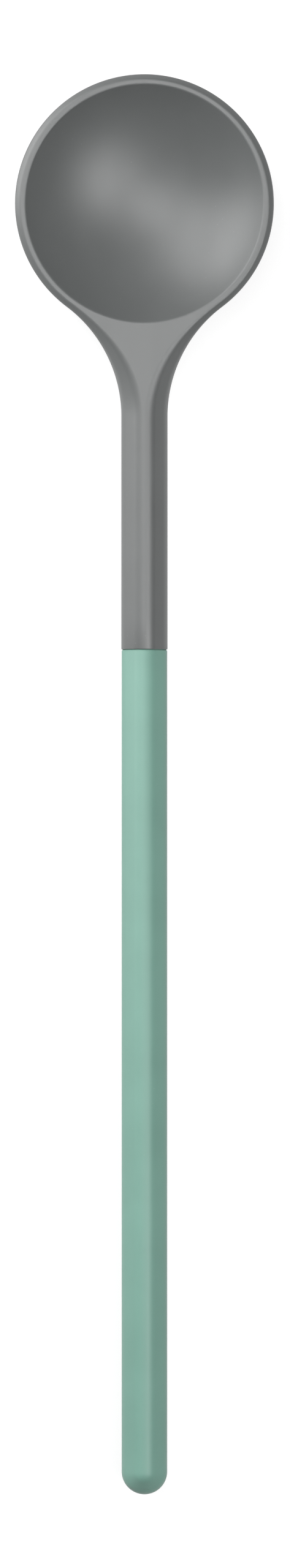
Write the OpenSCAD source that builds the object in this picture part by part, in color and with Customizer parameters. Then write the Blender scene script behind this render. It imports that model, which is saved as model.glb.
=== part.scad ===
// Cooking spoon: a silicone-skinned head and a silicone-skinned handle on one stiff inner core.
// Lengths are in millimetres. The spoon lies on its back along Y, with its head towards +Y.

/* [Bowl] */
// Width of the bowl across the outside of its rim
bowl_d = 56.4; // [52:0.2:62]
// Width of the rim, from the opening to the outside
rim_w = 2.2; // [2:0.1:3]
// Depth of the bowl under its rim
bowl_depth = 11.5; // [10.5:0.5:14]
// Thickness of the whole wall at the bottom of the bowl
bowl_wall = 2.8; // [2.6:0.1:3.4]
// Rounding of the rim's outer edge
rim_r = 1.3; // [0.9:0.1:1.5]
// Rounding of the rim's inner edge
lip_r = 0.5; // [0.3:0.1:0.7]

/* [Neck and stem] */
// From the bowl's centre to where the neck has narrowed to the straight stem
neck_l = 46.3; // [44:0.5:54]
// Width of the stem across its side corners
stem_w = 10.1; // [9.5:0.1:10.8]
// Rounding of the stem's four long corners
corner_r = 3.45; // [2.8:0.05:3.9]
// From the bowl's centre to the seam between the head and the handle
seam_l = 97.2; // [85:1:120]
// How far the back of the bowl and the keel of the stem melt into each other
keel_blend = 3; // [1:0.5:4]

/* [Handle] */
// From the seam to the tip of the handle
handle_l = 184.6; // [150:1:220]
// How far the stem stands proud of the handle at the seam
seam_step = 0.08; // [0.04:0.02:0.16]
// Width of the shadow groove round the handle at the seam
groove_w = 0.2; // [0.1:0.05:0.4]
// Depth of the shadow groove
groove_d = 0.25; // [0.15:0.05:0.4]

/* [Skins] */
// Silicone over the core along the neck, the stem and the handle
skin_t = 1.5; // [1.2:0.1:1.8]
// Silicone over and under the dish of the core
dish_skin_t = 0.8; // [0.7:0.05:0.9]
// Soft lip of silicone alone, from the dish's edge to the outside of the rim
lip_w = 3.2; // [2.8:0.1:4]

/* [Core] */
// Depth of the dish's edge below the core's top plane
dish_edge = 1.5; // [1.2:0.1:1.8]
// Rounding of the dish's lower edge
dish_edge_r = 0.5; // [0.3:0.1:0.6]
// Width of the locking holes that the silicone fills
lock_d = 3; // [2:0.25:4]
// Number of locking holes round the dish
lock_count = 8; // [5:1:10]
// From the bowl's centre to the middle of the ring of locking holes
lock_ring_r = 16; // [13:0.5:18]
// Width of the hole in the middle of the dish
centre_lock_d = 5; // [3:0.5:7]
// Length of the core's tang inside the handle
tang_l = 16; // [12:1:24]
// Width of the tang
tang_d = 5.4; // [5:0.1:5.8]
// Depth of the locking waists round the handle's core
waist_d = 0.5; // [0.3:0.1:0.7]
// Length of each locking waist
waist_l = 4; // [3:0.5:6]
// Number of locking waists along the handle's core
waist_count = 6; // [3:1:8]

/* [Rod] */
// Width of the steel rod
rod_d = 3; // [2.6:0.1:3.4]
// From the bowl's centre to the rod's upper end
rod_start = 36; // [34:1:44]
// From the rod's lower end to the tip of the handle
rod_tail = 20; // [14:1:40]
// Bevel on the rod's ends
rod_bevel = 0.4; // [0.2:0.1:0.6]

/* [Hidden] */
$fn = 64;

// A cut runs this far past the face it opens
over = 1;
// Play between the rod, the tang and their bores
press_gap = 0.02;
// Slant at which the lip's rounding meets the rim, and the flats that make it
lip_graze = 12;
lip_steps = 5;
// The handle's top and bottom ridge end in a flat that lies this deep, so its round end turns about a disc
ridge_flat = 0.002;

bowl_r = bowl_d / 2;
opening_r = bowl_r - rim_w;
cavity_r = (pow(opening_r, 2) + pow(bowl_depth, 2)) / (2 * bowl_depth);
cavity_z = cavity_r - bowl_depth;
bowl_back = bowl_depth + bowl_wall;
stem_half = stem_w / 2;
handle_half = stem_half - seam_step;
tip_l = seam_l + handle_l;
round_l = tip_l - handle_half;
core_half = stem_half - skin_t;
core_corner_r = corner_r - skin_t;
axis_z = -stem_half;
rod_l = tip_l - rod_tail - rod_start;

// Steps across each rounded corner of a section, along its lower half, round a quarter of the bowl,
// and down the neck
SKIN_STEPS = [4, 10, 22, 18];
CORE_STEPS = [2, 6, 14, 10];

function mix(a, b, share) = a + (b - a) * share;
function ease(share) = share * share * (3 - 2 * share);
// The deeper of two depths, rounded over where they come within soft of each other
function soft_deeper(a, b, soft) = max(a, b) + pow(max(soft - abs(a - b), 0), 2) / (4 * soft);

// Head and core are one blended form in two sizes. Its numbers, in order: radius of the bowl, half width
// of the stem, rounding of the stem's corners, width and depth of the bowl's upper edge, rounding of its
// lower edge, and depth of the bowl's back
SKIN_FORM = [bowl_r, stem_half, corner_r, rim_r, rim_r, rim_r, bowl_back];
CORE_FORM = [bowl_r - lip_w, core_half, core_corner_r, dish_edge_r, dish_edge, dish_edge_r,
    bowl_back - dish_skin_t - skin_t];
function side_r(form) = form[0];
function half_w(form) = form[1];
function round_r(form) = form[2];
function upper_w(form) = form[3];
function upper_d(form) = form[4];
function lower_r(form) = form[5];
function back_d(form) = form[6];

// The neck's side is an arc that leaves the bowl and meets the stem without a kink
function neck_radius(form) = let (narrowing = side_r(form) - half_w(form))
    (pow(neck_l, 2) / narrowing - side_r(form) - half_w(form)) / 2;
function neck_turn(form) = atan(neck_l / (half_w(form) + neck_radius(form)));

// A station is [side point, point on the spoon's axis, share of the way from bowl to stem]
function bowl_station(form, turn) = [side_r(form) * [cos(turn), sin(turn)], [0, 0], 0];
// Square to the neck's side, the axis is met at foot, but the point on the axis leaves the bowl's
// centre gently
function neck_station(form, turn) = let (
        reach = half_w(form) + neck_radius(form),
        foot = reach * tan(turn) - neck_l,
        share = 1 - turn / neck_turn(form))
    [[reach - neck_radius(form) * cos(turn), neck_radius(form) * sin(turn) - neck_l],
    [0, foot * (1 - pow(1 - share, 3))],
    ease(share)];
function lower_steps(form, steps) = ceil(steps[2] * neck_turn(form) / 90);
function stations(form, end_l, steps) = let (last = neck_turn(form), lower = lower_steps(form, steps)) [
    for (i = [0 : steps[2]]) bowl_station(form, mix(90, 0, i / steps[2])),
    for (i = [1 : lower]) bowl_station(form, mix(0, -last, i / lower)),
    for (i = [1 : steps[3]]) neck_station(form, mix(last, 0, i / steps[3])),
    [[half_w(form), -end_l], [0, -end_l], 1]];

// Upper edge of a section as shares of its width and depth, from the flat top out to the side:
// a plain quarter round at the bowl, a rounded 45 degree corner at the stem
function round_edge(i, n) = let (a = 90 * i / (2 * n + 1)) [1 - sin(a), 1 - cos(a)];
function corner_edge(i, n, r_share) = i <= n
    ? [1 - r_share * sin(45 * i / n), r_share * (1 - cos(45 * i / n))]
    : let (a = 45 + 45 * (i - n - 1) / n) [r_share * (1 - sin(a)), 1 - r_share * cos(a)];

// Lower half of a section as shares, from the side in to the keel:
// [distance from the axis, depth below the side]
function dome_radius(form) = let (side = side_r(form) - lower_r(form), rise = back_d(form) - upper_d(form))
    (side * side + rise * rise - lower_r(form) * lower_r(form)) / (2 * (rise - lower_r(form)));
function bowl_back_edge(form, i, n, m) = let (
        dome = dome_radius(form),
        rise = back_d(form) - upper_d(form),
        join = atan((side_r(form) - lower_r(form)) / (dome - rise)),
        a = i <= n ? mix(90, join, i / n) : mix(join, 0, (i - n) / (m - n)),
        out = i <= n ? side_r(form) - lower_r(form) + lower_r(form) * sin(a) : dome * sin(a),
        down = i <= n ? lower_r(form) * cos(a) : rise - dome + dome * cos(a))
    [out / side_r(form), down / rise];
function stem_back_edge(i, n, m, r_share) = let (
        a = i <= n ? mix(90, 45, i / n) : mix(45, 0, (i - n - 1) / (m - n - 1)))
    i <= n
        ? [1 - r_share + r_share * sin(a), r_share * cos(a)]
        : [r_share * sin(a), 1 - r_share + r_share * cos(a)];

// Depth of the bowl's round back at a distance from its centre, and nothing outside the rim
function back_depth(form, r) = let (dome = dome_radius(form), side = side_r(form) - lower_r(form))
    r > side_r(form) ? 0
    : (r - side) * (dome - lower_r(form)) > lower_r(form) * side
        ? upper_d(form) + sqrt(max(pow(lower_r(form), 2) - pow(r - side, 2), 0))
    : back_d(form) - dome + sqrt(dome * dome - r * r);

// The points of one section, from its flat top out over the side and down to the keel
function section(form, station, steps) = let (
        side = station[0], spine = station[1], share = station[2],
        r_share = round_r(form) / half_w(form),
        reach = norm(side - spine),
        wide = mix(upper_w(form), half_w(form), share),
        deep = mix(upper_d(form), half_w(form), share),
        soft = min(keel_blend, back_d(form) - 2 * half_w(form)))
    [
        for (i = [0 : 2 * steps[0] + 1])
            let (e = mix(round_edge(i, steps[0]), corner_edge(i, steps[0], r_share), share),
                p = mix(side, spine, wide * e[0] / reach))
            [p[0], p[1], -deep * e[1]],
        for (i = [1 : steps[1]])
            let (e = mix(bowl_back_edge(form, i, steps[0], steps[1]),
                    stem_back_edge(i, steps[0], steps[1], r_share), share),
                p = mix(spine, side, e[0]),
                keel = mix(deep, 2 * half_w(form), e[1]))
            [p[0], p[1], -soft_deeper(back_depth(form, norm(p)), keel, soft * e[1])]];

// The whole blended form as one closed skin, its right half and the mirror of it
module blended_form(form, end_l, steps) {
    stops = stations(form, end_l, steps);
    half = [for (s = stops) section(form, s, steps)];
    rows = len(half);
    cols = len(half[0]);
    bowl_rows = steps[2] + lower_steps(form, steps);
    points = [for (row = half) each row, for (row = half, p = row) [-p[0], p[1], p[2]]];
    // Points on the spoon's axis are shared by both halves, and the bowl's rows share its lowest point
    function shared(j, k) = j == 0 || k == cols - 1 || (k == 0 && j >= rows - 2);
    function at(left, j, k) =
        k == cols - 1 && j <= bowl_rows ? cols - 1
        : (left == 0 || shared(j, k) ? 0 : rows * cols) + j * cols + k;
    // Two triangles, less any that has no area
    function pair(a, b, c, d) = [
        if (a != b && b != c && a != c) [a, b, c],
        if (a != c && c != d && a != d) [a, c, d]];
    faces = [
        for (j = [0 : rows - 2], k = [0 : cols - 2])
            each pair(at(0, j, k), at(0, j, k + 1), at(0, j + 1, k + 1), at(0, j + 1, k)),
        for (j = [0 : rows - 2], k = [0 : cols - 2])
            each pair(at(1, j, k), at(1, j + 1, k), at(1, j + 1, k + 1), at(1, j, k + 1)),
        for (j = [0 : rows - 3])
            each pair(at(0, j, 0), at(0, j + 1, 0), at(1, j + 1, 0), at(1, j, 0)),
        [for (k = [0 : cols - 1]) at(0, rows - 1, k), for (k = [cols - 2 : -1 : 1]) at(1, rows - 1, k)]];
    polyhedron(points = points, faces = faces, convexity = 6);
}

// The spoon is drawn with its rim plane at zero and its bowl's centre at the origin,
// then stood on the lowest point of its back, in the middle of its length
module placed() {
    translate([0, (tip_l - bowl_r) / 2, bowl_back]) children();
}

// Section of the handle: a square on its corner, with rounded corners
module stem_section(half, r) {
    reach = half - r;
    intersection() {
        union() {
            for (turn = [0 : 90 : 270]) rotate(turn) translate([reach, 0]) circle(r);
            for (turn = [45, 135]) rotate(turn)
                square([2 * r + reach * sqrt(2), reach * sqrt(2)], center = true);
        }
        square([2 * half + over, 2 * (half - ridge_flat)], center = true);
    }
}

// A bar of that section from one distance to another along the handle
module bar(half, r, from_l, to_l) {
    translate([0, -from_l, axis_z]) rotate([90, 0, 0])
        linear_extrude(to_l - from_l) stem_section(half, r);
}

// A bar that ends in a full round, the section turned half about its middle
module round_bar(half, r, from_l) {
    bar(half, r, from_l, round_l);
    translate([0, -round_l, axis_z]) rotate(180) rotate_extrude(angle = 180)
        intersection() {
            stem_section(half, r);
            translate([0, -half]) square([half, 2 * half]);
        }
}

// A round bore along the spoon's axis
module bore(d, from_l, to_l) {
    translate([0, -from_l, axis_z]) rotate([90, 0, 0]) cylinder(h = to_l - from_l, d = d);
}

// The hollow of the bowl, a true sphere, grown by a skin's thickness
module cavity(grow) {
    translate([0, 0, cavity_z]) sphere(cavity_r + grow, $fn = 128);
}

// Cutter for the rounding of the rim's inner edge. Its arc meets the rim and the hollow at a small angle.
module lip_cut() {
    centre_z = -lip_r * cos(lip_graze);
    centre_r = sqrt(pow(cavity_r - centre_z, 2) - pow(cavity_z - centre_z, 2));
    turn = atan(centre_r / (cavity_z - centre_z));
    rotate_extrude($fn = 128) polygon([
        [centre_r, over],
        for (i = [0 : lip_steps]) let (a = turn * i / lip_steps)
            [centre_r - lip_r * sin(a), centre_z + lip_r * cos(a)],
        [opening_r - over, -lip_r],
        [opening_r - over, over]]);
}

// The core inside the head: dish, neck and stem in one form, one skin's thickness inside the head
module core_blank() {
    difference() {
        translate([0, 0, -skin_t]) blended_form(CORE_FORM, seam_l, CORE_STEPS);
        cavity(dish_skin_t);
        translate([0, 0, -bowl_back]) {
            cylinder(h = bowl_back, d = centre_lock_d);
            for (i = [0 : lock_count - 1]) rotate(90 + 360 * i / lock_count)
                translate([lock_ring_r, 0]) cylinder(h = bowl_back, d = lock_d);
        }
    }
}

module head_skin() {
    color([0.57, 0.58, 0.575]) placed() difference() {
        blended_form(SKIN_FORM, seam_l, SKIN_STEPS);
        cavity(0);
        lip_cut();
        core_blank();
    }
}

module head_core() {
    color([0.2, 0.2, 0.21]) placed() difference() {
        union() {
            core_blank();
            bore(tang_d, seam_l - over, seam_l + tang_l);
        }
        bore(rod_d + 2 * press_gap, rod_start, seam_l + tang_l + over);
    }
}

module core_rod() {
    color([0.75, 0.76, 0.78]) placed() translate([0, -rod_start, axis_z]) rotate([90, 0, 0])
        rotate_extrude() polygon([[0, 0], [rod_d / 2 - rod_bevel, 0], [rod_d / 2, rod_bevel],
            [rod_d / 2, rod_l - rod_bevel], [rod_d / 2 - rod_bevel, rod_l], [0, rod_l]]);
}

// The core inside the handle, with narrower waists that lock the skin on
module handle_core_blank() {
    half = handle_half - skin_t;
    r = corner_r - seam_step - skin_t;
    pitch = floor((round_l - seam_l - tang_l) / waist_count);
    stops = [for (i = [0 : waist_count - 1]) seam_l + tang_l + (i + 0.5) * pitch];
    bar(half - waist_d, r - waist_d, seam_l, round_l);
    for (i = [0 : waist_count - 2]) bar(half, r, stops[i] + waist_l, stops[i + 1]);
    bar(half, r, seam_l, stops[0]);
    round_bar(half, r, stops[waist_count - 1] + waist_l);
}

module handle_core() {
    color([0.2, 0.2, 0.21]) placed() difference() {
        handle_core_blank();
        bore(tang_d + 2 * press_gap, seam_l - over, seam_l + tang_l);
        bore(rod_d + 2 * press_gap, seam_l, rod_start + rod_l);
    }
}

module handle_skin() {
    color([0.6, 0.74, 0.68]) placed() difference() {
        union() {
            round_bar(handle_half, corner_r - seam_step, seam_l + groove_w);
            bar(handle_half - groove_d, corner_r - seam_step - groove_d, seam_l, seam_l + groove_w);
        }
        handle_core_blank();
    }
}

head_skin();
head_core();
core_rod();
handle_core();
handle_skin();
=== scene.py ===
# Looks of the cooking spoon, built round its CAD frame. Lengths are in metres. The spoon lies on
# its back with its head towards +Y.
import math

import bmesh
import bpy
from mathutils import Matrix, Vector


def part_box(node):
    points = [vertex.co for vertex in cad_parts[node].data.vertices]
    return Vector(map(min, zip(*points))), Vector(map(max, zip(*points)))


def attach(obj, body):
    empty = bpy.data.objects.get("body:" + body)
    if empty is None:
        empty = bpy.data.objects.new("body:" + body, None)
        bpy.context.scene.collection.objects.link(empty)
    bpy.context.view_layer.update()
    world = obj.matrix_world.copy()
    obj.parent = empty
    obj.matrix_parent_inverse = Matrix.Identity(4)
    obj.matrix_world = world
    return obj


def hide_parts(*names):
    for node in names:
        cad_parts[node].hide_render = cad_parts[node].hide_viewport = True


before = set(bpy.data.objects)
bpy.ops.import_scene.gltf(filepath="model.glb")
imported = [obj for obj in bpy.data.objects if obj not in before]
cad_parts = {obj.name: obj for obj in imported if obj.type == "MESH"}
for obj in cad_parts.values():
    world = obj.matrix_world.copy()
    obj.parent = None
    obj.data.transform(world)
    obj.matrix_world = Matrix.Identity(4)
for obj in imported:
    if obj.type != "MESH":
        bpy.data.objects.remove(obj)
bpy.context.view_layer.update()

# Head skin: grey silicone moulded over the head's core in a two-part steel tool. The tool's halves
# meet along the spoon's widest outline, where a hair of a parting line stays, and its bead-blasted
# walls leave a fine matt grain.


class Value:
    """A shader socket that takes plain arithmetic."""

    def __init__(self, paint, socket):
        self.paint, self.socket = paint, socket

    def math(self, operation, *others):
        """One step of arithmetic, this value first."""
        return self.paint.node("ShaderNodeMath", {"operation": operation}, [self, *others])

    def __add__(self, other):
        return self.math("ADD", other)

    def __mul__(self, other):
        return self.math("MULTIPLY", other)

    def __sub__(self, other):
        return self.math("SUBTRACT", other)

    def __rsub__(self, other):
        return self.paint.node("ShaderNodeMath", {"operation": "SUBTRACT"}, [other, self])

    __radd__ = __add__

    def band(self, low, high):
        """0 at low, 1 at high, smooth between them, in either order."""
        return self.paint.node(
            "ShaderNodeMapRange",
            {"interpolation_type": "SMOOTHSTEP"},
            {"Value": self, "From Min": low, "From Max": high},
        )

    def near(self, middle, reach):
        """1 at middle, 0 from reach away."""
        return (self - middle).math("ABSOLUTE").band(reach, 0)


class Paint:
    """The nodes of one material, or of the world."""

    def __init__(self, name, blocks="materials", shader="Principled BSDF"):
        self.block = getattr(bpy.data, blocks).new(name)
        self.block.use_nodes = True
        self.tree = self.block.node_tree
        self.skin = self.tree.nodes[shader]

    def node(self, kind, settings=None, inputs=(), out=0):
        """Any node. Inputs are a list, or a dict by name, of values and plain numbers."""
        made = self.tree.nodes.new(kind)
        for key, value in (settings or {}).items():
            setattr(made, key, value)
        self.feed(made, inputs if isinstance(inputs, dict) else dict(enumerate(inputs)))
        return Value(self, made.outputs[out])

    def feed(self, made, inputs):
        """Links or sets a node's sockets."""
        for key, value in inputs.items():
            if isinstance(value, Value):
                self.tree.links.new(value.socket, made.inputs[key])
            else:
                made.inputs[key].default_value = value

    def surface(self, **inputs):
        """The finish itself: sockets by name, with an underscore for a space."""
        self.feed(self.skin, {key.replace("_", " "): value for key, value in inputs.items()})

    def place(self, stretch=(1, 1, 1)):
        """Object coordinates, in metres, stretched along the axes."""
        spot = self.node("ShaderNodeTexCoord", out="Object")
        return self.node("ShaderNodeVectorMath", {"operation": "MULTIPLY"}, [spot, stretch])

    def axes(self):
        """The three object coordinates."""
        return [
            self.node("ShaderNodeSeparateXYZ", inputs=[self.place()], out=axis) for axis in range(3)
        ]

    def noise(self, scale, detail=2.0, stretch=(1, 1, 1), rough=0.5):
        """Clouds of about 1 / scale metres."""
        inputs = {
            "Vector": self.place(stretch),
            "Scale": scale,
            "Detail": detail,
            "Roughness": rough,
        }
        return self.node("ShaderNodeTexNoise", inputs=inputs, out="Fac")

    def cells(self, scale):
        """Distance to the nearest of many scattered points, in shares of their spacing."""
        inputs = {"Vector": self.place(), "Scale": scale}
        return self.node("ShaderNodeTexVoronoi", inputs=inputs, out="Distance")

    def attribute(self, name):
        """A number stored at the mesh's points."""
        return self.node("ShaderNodeAttribute", {"attribute_name": name}, out="Fac")

    def blend(self, share, first, second):
        """Two colours mixed by a share. The node's colour sockets are its inputs 6 and 7."""
        inputs = {0: share, 6: first, 7: second}
        return self.node("ShaderNodeMix", {"data_type": "RGBA"}, inputs, out=2)

    def bump(self, height):
        """Relief of a height in metres."""
        return self.node("ShaderNodeBump", inputs={"Height": height, "Distance": 1.0}, out="Normal")


# Heights of the silicone's relief, the depth of a mark, half the width of the parting line, and a
# distance that is well clear of it
grain_high, swell_high, wiped_high, line_high = 0.000001, 0.000012, 0.000004, 0.00003
mark_deep = 0.00005
line_half = 0.00012
line_clear = 1.0


def shade(colour, times):
    """The colour, that many times as light."""
    return (*[channel * times for channel in colour], 1.0)


def silicone(name, colour, gloss, extra_mark=None):
    """Satin silicone: cloudy pigment, matt grain, faint wiped streaks, dust and a parting line."""
    paint = Paint(name)
    cloud = paint.noise(70, 3)
    grain = paint.noise(3800, 2, rough=0.6)
    swell = paint.noise(260, 1)
    wiped = paint.noise(160, 2, stretch=(1.0, 0.12, 1.0))
    dust = paint.cells(620).band(0.1, 0.05) * paint.noise(45, 1).band(0.55, 0.7)
    line = paint.attribute("parting").near(0.0, line_half)
    tone = paint.blend(cloud.band(0.3, 0.7), shade(colour, 0.97), shade(colour, 1.03))
    tone = paint.blend(dust * 0.08, tone, (0.72, 0.72, 0.7, 1))
    tone = paint.blend(line * 0.12, tone, shade(colour, 0.6))
    relief = grain * grain_high + swell * swell_high + wiped * wiped_high + line * line_high
    if extra_mark:
        mark = extra_mark(paint)
        # The extra mark is sunk in as a recess, and its colour is darkened there as painted shade.
        tone = paint.blend(mark * 0.3, tone, shade(colour, 0.45))
        relief = relief - mark * mark_deep
    paint.surface(
        Base_Color=tone,
        Roughness=0.32 + cloud * 0.06 + wiped * 0.1 + grain * 0.05 + dust * 0.15,
        Normal=paint.bump(relief),
        Specular_IOR_Level=gloss,
    )
    return paint.block


def mix(first, second, share):
    """The value that lies this share of the way from first to second."""
    return first + (second - first) * share


def piece(name, bm, material, body="root"):
    """The mesh as a shown piece of the object, smooth, faces outward."""
    bmesh.ops.recalc_face_normals(bm, faces=bm.faces)
    for face in bm.faces:
        face.smooth = True
    mesh = bpy.data.meshes.new(name)
    bm.to_mesh(mesh)
    bm.free()
    made = bpy.data.objects.new(name, mesh)
    made.data.materials.append(material)
    bpy.context.scene.collection.objects.link(made)
    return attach(made, body)


# Taken from the solids
head_low, head_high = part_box("head_skin")
bowl_r = head_high.x
bowl_y = head_high.y - bowl_r
rim_z = head_high.z
bowl_back = rim_z - head_low.z
seam_y = head_low.y

# The stem is a square on its corner, with rounded corners
stem_half = 0.00505
stem_corner = 0.00345

# The bowl's outer edge, the neck's length, the keel's ease into the back, and the bevel at the seam
edge_r = 0.0013
edge_w = 0.00145
rim_round = 0.6
neck_l = 0.0463
keel_blend = 0.003
end_r = 0.00012

# The neck's side is an arc that leaves the bowl's circle and meets the stem's side
neck_r = (neck_l**2 / (bowl_r - stem_half) - bowl_r - stem_half) / 2
reach = stem_half + neck_r
neck_turn = math.atan2(neck_l, reach)

# The back is a dome that meets the round of the bowl's edge
dome_side = bowl_r - edge_r
dome_rise = bowl_back - edge_r
dome_r = (dome_side**2 + dome_rise**2 - edge_r**2) / (2 * (dome_rise - edge_r))

# Sections round half the bowl, along the neck, along the stem and over the bevel at its end
bowl_rows, neck_rows, stem_rows, end_rows = 105, 60, 8, 4

# Steps of a section round each corner and round the keel, with one step across a flank between
# them, and the mesh columns in each step
arc_steps, keel_steps, step_columns = 4, 5, 3
upper_steps = 2 * arc_steps + 1
lower_steps = arc_steps + 1 + keel_steps
eighth = math.pi / 4

# Width of the flat that is modelled with an edge, and the gaps that are closed
flat_strip = 0.0001
merge_gap = 1e-7
level_gap = 1e-6


def stations():
    """Down the head: side point, point on the axis, share of the way from bowl to stem, size."""
    rows = []
    for i in range(bowl_rows + 1):
        turn = mix(math.pi / 2, -neck_turn, i / bowl_rows)
        rows.append((Vector((math.cos(turn), math.sin(turn))) * bowl_r, 0.0, 0.0, 1.0))
    for i in range(1, neck_rows + 1):
        share = i / neck_rows
        turn = neck_turn * (1 - share)
        side = Vector((reach - neck_r * math.cos(turn), neck_r * math.sin(turn) - neck_l))
        spine = (reach * math.tan(turn) - neck_l) * (1 - (1 - share) ** 3)
        rows.append((side, spine, share * share * (3 - 2 * share), 1.0))
    stem_l = bowl_y - seam_y
    for i in range(1, stem_rows + 1):
        along = -mix(neck_l, stem_l - end_r, i / stem_rows)
        rows.append((Vector((stem_half, along)), along, 1.0, 1.0))
    for i in range(1, end_rows + 1):
        turn = math.pi / 2 * i / end_rows
        along = end_r - stem_l - end_r * math.sin(turn)
        size = 1 - end_r * (1 - math.cos(turn)) / stem_half
        rows.append((Vector((stem_half, along)), along, 1.0, size))
    return rows


def corner(angle, r):
    """A point of a corner's arc, from the arc's middle: across, and up or down."""
    return r * math.sin(angle), r * math.cos(angle)


def upper_edge(t, share):
    """From the flat top (t 0) to the side (t 1): two rounds with a sloping flank between them.

    Distance in from the side and depth below the top, in shares of the edge's width and depth."""
    r = mix(rim_round, stem_corner / stem_half, share)

    def rounded(step):
        if step <= arc_steps:
            across, down = corner(eighth * step / arc_steps, r)
            return 1 - across, r - down
        across, down = corner(eighth * (step - 1) / arc_steps, r)
        return r - across, 1 - down

    step = t * upper_steps
    past = step - arc_steps
    if 0 < past < 1:
        return [mix(a, b, past) for a, b in zip(rounded(arc_steps), rounded(arc_steps + 1))]
    return rounded(step)


def lower_edge(t, share):
    """From the side (t 0) in to the keel (t 1): distance from the axis and depth below the side."""
    r = stem_corner / stem_half
    join = math.atan2(dome_side, dome_r - dome_rise)
    step = t * lower_steps
    past = step - arc_steps
    if past <= 0:
        across, down = corner(mix(math.pi / 2, join, step / arc_steps), edge_r)
        bowl = ((dome_side + across) / bowl_r, down / dome_rise)
    else:
        across, down = corner(mix(join, 0, past / (keel_steps + 1)), dome_r)
        bowl = (across / bowl_r, (dome_rise - dome_r + down) / dome_rise)

    def stem(step):
        if step <= arc_steps:
            across, down = corner(mix(math.pi / 2, eighth, step / arc_steps), r)
            return 1 - r + across, down
        across, down = corner(mix(eighth, 0, (step - arc_steps - 1) / keel_steps), r)
        return across, 1 - r + down

    if 0 < past < 1:
        plain = [mix(a, b, past) for a, b in zip(stem(arc_steps), stem(arc_steps + 1))]
    else:
        plain = stem(step)
    return [mix(a, b, share) for a, b in zip(bowl, plain)]


def back_depth(r):
    """Depth of the bowl's round back at a distance from its centre."""
    if r > bowl_r:
        return 0.0
    if (r - dome_side) * (dome_r - edge_r) > edge_r * dome_side:
        return edge_r + math.sqrt(max(edge_r**2 - (r - dome_side) ** 2, 0))
    return bowl_back - dome_r + math.sqrt(dome_r**2 - r * r)


def head_point(station, column, uppers, lowers):
    """One point of the head's right half: its place, its height from the rim, the side's depth.

    Column 0 lies on the flat top, just inside its edge."""
    side, spine_y, share = station[:3]
    spine = Vector((0, spine_y))
    span = (side - spine).length
    wide = mix(edge_w, stem_half, share)
    deep = mix(edge_r, stem_half, share)
    if column <= uppers + 1:
        e = upper_edge(max(column - 1, 0) / uppers, share)
        inward = min(wide * e[0] + (flat_strip if column == 0 else 0), span)
        p = side.lerp(spine, inward / span)
        return p, -deep * e[1], deep
    e = lower_edge((column - uppers - 1) / lowers, share)
    p = spine.lerp(side, e[0])
    keel = mix(deep, 2 * stem_half, e[1])
    soft = max(keel_blend * e[1], 1e-9)
    back = back_depth(p.length)
    deeper = max(back, keel) + max(soft - abs(back - keel), 0) ** 2 / (4 * soft)
    return p, -deeper, deep


def build_head():
    uppers, lowers = step_columns * upper_steps, step_columns * lower_steps
    rows = stations()
    columns = uppers + lowers + 2
    bm = bmesh.new()
    parting = bm.verts.layers.float.new("parting")
    bmesh.ops.create_grid(bm, x_segments=columns - 1, y_segments=len(rows) - 1, size=1)
    for v in bm.verts:
        column = round((v.co.x + 1) / 2 * (columns - 1))
        row = round((v.co.y + 1) / 2 * (len(rows) - 1))
        p, z, side_z = head_point(rows[row], column, uppers, lowers)
        size = rows[row][3]
        v.co = (max(p.x, 0) * size, bowl_y + p.y, rim_z + mix(-stem_half, z, size))
        v[parting] = z + side_z
    bmesh.ops.remove_doubles(bm, verts=bm.verts, dist=merge_gap)
    half = bm.verts[:] + bm.edges[:] + bm.faces[:]
    bmesh.ops.mirror(bm, geom=half, merge_dist=merge_gap, axis="X")
    bmesh.ops.remove_doubles(bm, verts=bm.verts, dist=merge_gap)

    # The hollow and its rounded lip are turned about the bowl's middle
    hollow_depth, rim_w, lip_r = 0.0115, 0.0022, 0.0007
    ball_steps, lip_steps, turn_steps = 40, 10, 160
    opening = bowl_r - rim_w
    ball = (opening**2 + hollow_depth**2) / (2 * hollow_depth)
    ball_z = ball - hollow_depth
    lip_at = math.sqrt((ball + lip_r) ** 2 - (ball_z + lip_r) ** 2)
    slope = math.atan2(lip_at, ball_z + lip_r)
    profile = []
    for i in range(ball_steps + 1):
        turn = slope * i / ball_steps
        profile.append((ball * math.sin(turn), ball_z - ball * math.cos(turn)))
    for i in range(1, lip_steps + 1):
        turn = slope * (1 - i / lip_steps)
        profile.append((lip_at - lip_r * math.sin(turn), -lip_r + lip_r * math.cos(turn)))
    profile.append((lip_at + flat_strip, 0.0))
    chain = [bm.verts.new((x, bowl_y, rim_z + z)) for x, z in profile]
    edges = [bm.edges.new(pair) for pair in zip(chain, chain[1:])]
    for v in chain:
        v[parting] = line_clear
    bmesh.ops.spin(
        bm,
        geom=chain + edges,
        cent=(0, bowl_y, 0),
        axis=(0, 0, 1),
        angle=2 * math.pi,
        steps=turn_steps,
        use_merge=True,
    )
    bmesh.ops.remove_doubles(bm, verts=bm.verts, dist=merge_gap)

    def open_edges(test):
        return [e for e in bm.edges if e.is_boundary and all(test(v.co) for v in e.verts)]

    # The flat of rim and neck, then the end at the seam
    flat = open_edges(lambda co: co.z > rim_z - level_gap)
    bmesh.ops.triangle_fill(bm, edges=flat, use_beauty=True)
    bmesh.ops.contextual_create(bm, geom=open_edges(lambda co: co.y < seam_y + level_gap))
    return bm


grey = silicone("grey_silicone", (0.132, 0.139, 0.138), 1.0)
head = piece("head_skin_visual", build_head(), grey)
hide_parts("head_skin")

# Handle skin: mint silicone moulded over the handle's core after the head. Its end face stops
# against the head's, and the tool leaves a shadow groove there and a gate scar at the far end.
# The gate scar's shallow recess is also darkened with painted shade.
hand_low, hand_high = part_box("handle_skin")
hand_less = 0.00008
hand_half = stem_half - hand_less
hand_corner = 0.00337
axis_z = (hand_low.z + hand_high.z) / 2
tip_y = hand_low.y
round_y = tip_y + hand_half
groove_w, groove_d, groove_bevel = 0.00018, 0.0002, 0.00012
hand_steps, tip_steps = 10, 64
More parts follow.
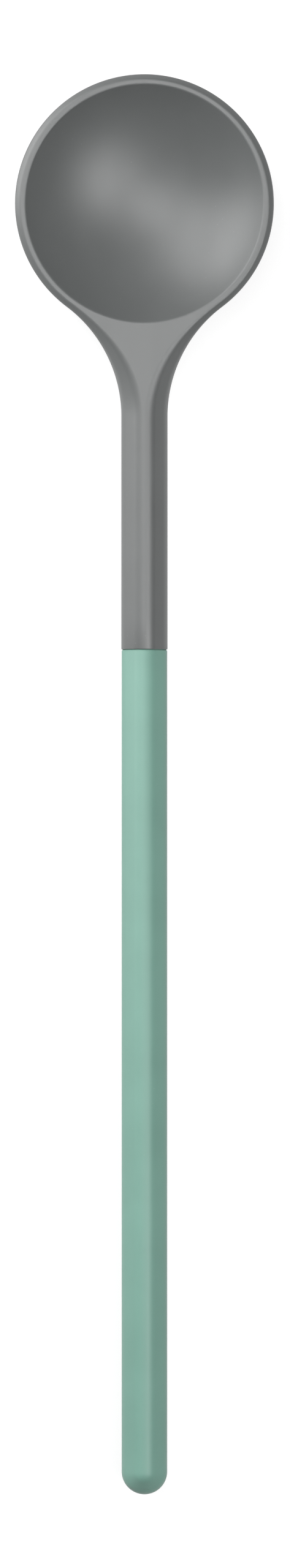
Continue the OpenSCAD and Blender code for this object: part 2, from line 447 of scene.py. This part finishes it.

# The gate scar, which also carries painted shade: half its length, its distance from the tip, half
# its width, and how far above the handle's middle it begins
scar_half, scar_in, scar_w, scar_up = 0.0015, 0.0012, 0.00014, 0.0005


def half_section(half, r):
    """The handle's section on its right side, from the top ridge round to the bottom one."""
    inset = half - r
    arcs = [
        ((0, inset), math.pi / 2, eighth, hand_steps),
        ((inset, 0), eighth, -eighth, 2 * hand_steps),
        ((0, -inset), -eighth, -math.pi / 2, hand_steps),
    ]
    points = []
    for (x, z), first, last, count in arcs:
        for i in range(count + 1):
            turn = mix(first, last, i / count)
            points.append((x + r * math.cos(turn), z + r * math.sin(turn)))
    return points


def build_handle():
    bm = bmesh.new()
    parting = bm.verts.layers.float.new("parting")
    chain = [
        bm.verts.new((max(x, 0), round_y, min(max(axis_z + z, hand_low.z), hand_high.z)))
        for x, z in half_section(hand_half, hand_corner)
    ]
    edges = [bm.edges.new(pair) for pair in zip(chain, chain[1:])]
    bmesh.ops.spin(
        bm,
        geom=chain + edges,
        cent=(0, round_y, 0),
        axis=(0, 0, 1),
        angle=-math.pi,
        steps=tip_steps,
    )
    bmesh.ops.remove_doubles(bm, verts=bm.verts, dist=merge_gap)

    # From the round end's straight side up to the seam, in and out again for the shadow groove
    loop = [e for e in bm.edges if e.is_boundary]
    rings = []
    for target, size in [
        (seam_y - groove_w, 1.0),
        (seam_y - groove_w, (hand_half - groove_d) / hand_half),
        (seam_y, 1.0),
    ]:
        grown = bmesh.ops.extrude_edge_only(bm, edges=loop)["geom"]
        loop = [g for g in grown if isinstance(g, bmesh.types.BMEdge) and g.is_boundary]
        for v in {v for e in loop for v in e.verts}:
            v.co = (v.co.x * size, target, axis_z + (v.co.z - axis_z) * size)
        rings.append(loop)
    bmesh.ops.contextual_create(bm, geom=loop)
    bmesh.ops.recalc_face_normals(bm, faces=bm.faces)
    bmesh.ops.bevel(
        bm,
        geom=rings[0],
        offset=groove_bevel,
        segments=3,
        profile=0.5,
        affect="EDGES",
        material=-1,
    )
    for v in bm.verts:
        v[parting] = v.co.z - axis_z
    return bm


def gate_scar_with_painted_shade(paint):
    """A short line across the end, where the silicone was let into the mould; painted shade darkens
    it.
    """
    x, y, z = paint.axes()
    upper = z.band(axis_z, axis_z + scar_up)
    return x.near(0, scar_half) * y.near(tip_y + scar_in, scar_w) * upper


mint = silicone("mint_silicone", (0.217, 0.41, 0.339), 0.5, gate_scar_with_painted_shade)
handle = piece("handle_skin_visual", build_handle(), mint)
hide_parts("handle_skin")

# Cores of head and handle: black glass-filled nylon, injection moulded. They are wholly under the
# silicone, so they keep their CAD meshes. Glass fibres show as short pale streaks in the surface.


def nylon(name):
    """Black moulded nylon with pale glass fibres along it."""
    paint = Paint(name)
    fibres = paint.noise(2600, 1, stretch=(1.0, 0.08, 1.0)).band(0.62, 0.72)
    cloud = paint.noise(110, 3)
    grain = paint.noise(5200, 2)
    resin, glass = (0.028, 0.028, 0.03, 1), (0.12, 0.12, 0.12, 1)
    paint.surface(
        Base_Color=paint.blend(fibres * 0.5, resin, glass),
        Roughness=0.42 + cloud * 0.14 + fibres * 0.12,
        Normal=paint.bump(grain * 0.000004 + fibres * 0.000003),
    )
    return paint.block


black = nylon("core_nylon")
for name in ("head_core", "handle_core"):
    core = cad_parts[name]
    core.data.materials.clear()
    core.data.materials.append(black)

# Core rod: drawn stainless bar, cut to length with bevelled ends and pressed through both cores.
# The die leaves fine lines along it.


def drawn_steel(name):
    """Bare steel with the die's lines along it."""
    paint = Paint(name)
    lines = paint.noise(5200, 2, stretch=(1.0, 0.01, 1.0))
    stain = paint.noise(130, 3)
    paint.surface(
        Base_Color=paint.blend(stain, (0.5, 0.5, 0.51, 1), (0.62, 0.62, 0.63, 1)),
        Metallic=1.0,
        Roughness=0.22 + lines * 0.16 + stain * 0.08,
        Normal=paint.bump(lines * 0.000002),
    )
    return paint.block


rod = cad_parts["core_rod"]
rod.data.materials.clear()
rod.data.materials.append(drawn_steel("rod_steel"))

# The set: a white sweep under the spoon, soft lamps mostly from the head's left, and a camera that
# looks straight down through a long lens.

# How much of the white the spoon mirrors far off and overhead, so that its dark sides stay dark
far_share = 0.14

# The floor: its radius, the distances between which it turns from near to far, and its near grey,
# to which the lamps add the rest of the white
floor_r, near_end, far_start, near_glow = 30, 0.35, 1.5, 0.78

no_glow, full_glow = (0, 0, 0, 1), (1, 1, 1, 1)


def background(paint, mirrored_share):
    """1 where the camera looks, and this share where the spoon mirrors it or lets it through."""
    seen, mirrored, through = [
        paint.node("ShaderNodeLightPath", out=f"Is {kind} Ray")
        for kind in ("Camera", "Glossy", "Transmission")
    ]
    return (seen + (mirrored + through) * mirrored_share).math("MINIMUM", 1.0)


def white_sweep():
    """A wide round floor, white where seen or mirrored but for the spoon's shadow."""
    paint = Paint("sweep")
    x, y, _ = paint.axes()
    far_off = (x * x + y * y).math("SQRT").band(near_end, far_start)
    white = paint.blend(far_off, (near_glow, near_glow, near_glow, 1), full_glow)
    shown = background(paint, 1 - far_off * (1 - far_share))
    paint.surface(
        Base_Color=(0.35, 0.35, 0.35, 1),
        Roughness=0.9,
        Emission_Color=paint.blend(shown, no_glow, white),
        Emission_Strength=1.0,
    )
    bm = bmesh.new()
    bmesh.ops.create_circle(bm, cap_ends=True, segments=64, radius=floor_r)
    mesh = bpy.data.meshes.new("sweep")
    bm.to_mesh(mesh)
    bm.free()
    floor = bpy.data.objects.new("sweep", mesh)
    floor.data.materials.append(paint.block)
    bpy.context.scene.collection.objects.link(floor)
    return floor


def softbox(name, turn, rise, size, watts):
    """A lamp 1 m from the spoon's middle: bearing from +X and rise in degrees, width and height."""
    data = bpy.data.lights.new(name, "AREA")
    data.shape = "RECTANGLE"
    data.size, data.size_y = size
    data.energy = watts
    made = bpy.data.objects.new(name, data)
    bearing, height = math.radians(turn), math.radians(rise)
    level = math.cos(height)
    made.location = (level * math.cos(bearing), level * math.sin(bearing), math.sin(height))
    made.rotation_euler = made.location.to_track_quat("Z", "Y").to_euler()
    made.visible_camera = False
    bpy.context.scene.collection.objects.link(made)


white_sweep()
softbox("low_left", 150, 12, (0.9, 0.4), 4.3)
softbox("mid_left", 139, 33, (1.0, 0.6), 3.9)
softbox("high_left", 139, 57, (0.6, 0.5), 2.0)
softbox("high_right", 328, 59, (0.55, 0.55), 2.6)
softbox("right", 0, 60, (0.5, 0.5), 2.1)
softbox("top", 110, 80, (0.45, 0.45), 2.35)

room = Paint("room", "worlds", "Background")
room_glow = (0.008, 0.008, 0.008, 1)
room.surface(Color=room.blend(background(room, far_share), room_glow, full_glow))
bpy.context.scene.world = room.block

# The picture's middle, and the length that its long side spans at the height of the ridges, as
# measured in the photo
middle_x, middle_y = 0.00012, 0.0002
sensor_l, lens, picture_l, ridge_z = 36, 200, 0.3424, 0.0105
camera_data = bpy.data.cameras.new("camera")
camera_data.sensor_width = sensor_l
camera_data.lens = lens
camera = bpy.data.objects.new("camera", camera_data)
camera.location = (middle_x, middle_y, ridge_z + picture_l * lens / sensor_l)
bpy.context.scene.collection.objects.link(camera)
bpy.context.scene.camera = camera
bpy.context.scene.view_settings.view_transform = "Standard"
